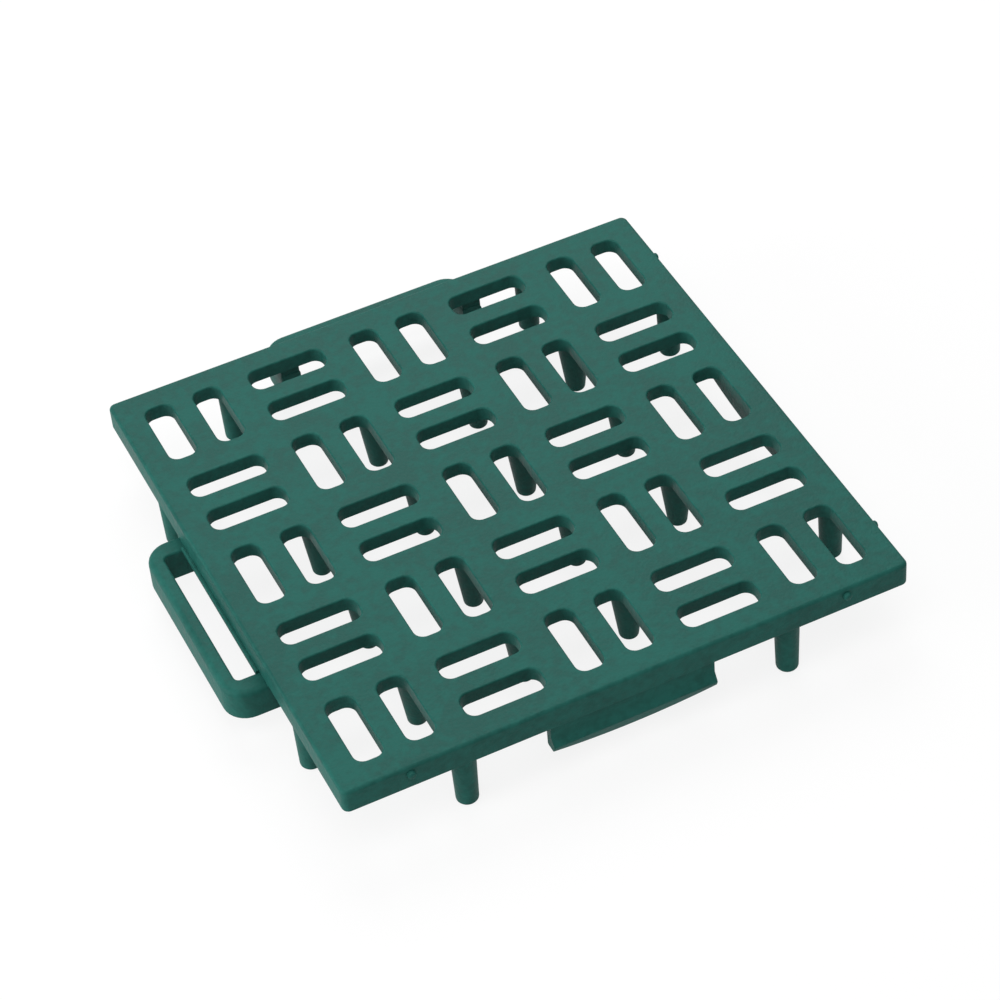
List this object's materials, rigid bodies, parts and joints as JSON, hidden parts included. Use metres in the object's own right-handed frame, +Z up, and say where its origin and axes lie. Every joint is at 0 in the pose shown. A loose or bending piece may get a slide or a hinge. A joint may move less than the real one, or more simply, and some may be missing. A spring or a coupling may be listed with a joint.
{
  "type": "plastic floor tile",
  "caption": "Square click-together plastic floor tile with a basketweave of drain slots, standing on legs, with clip loops and clip tongues on its sides.",
  "frame": {"origin": "on the floor, under the middle of the footprint with loops and pips", "axes": "+Z up, +X to the right along the front edge, +Y towards the back"},
  "size_m": [0.1772, 0.1772, 0.025],
  "materials": {
    "green_plastic": "satin moulded polypropylene, dark bottle green"
  },
  "bodies": {
    "root": {"floor_tile": "green_plastic"}
  },
  "joints": []
}
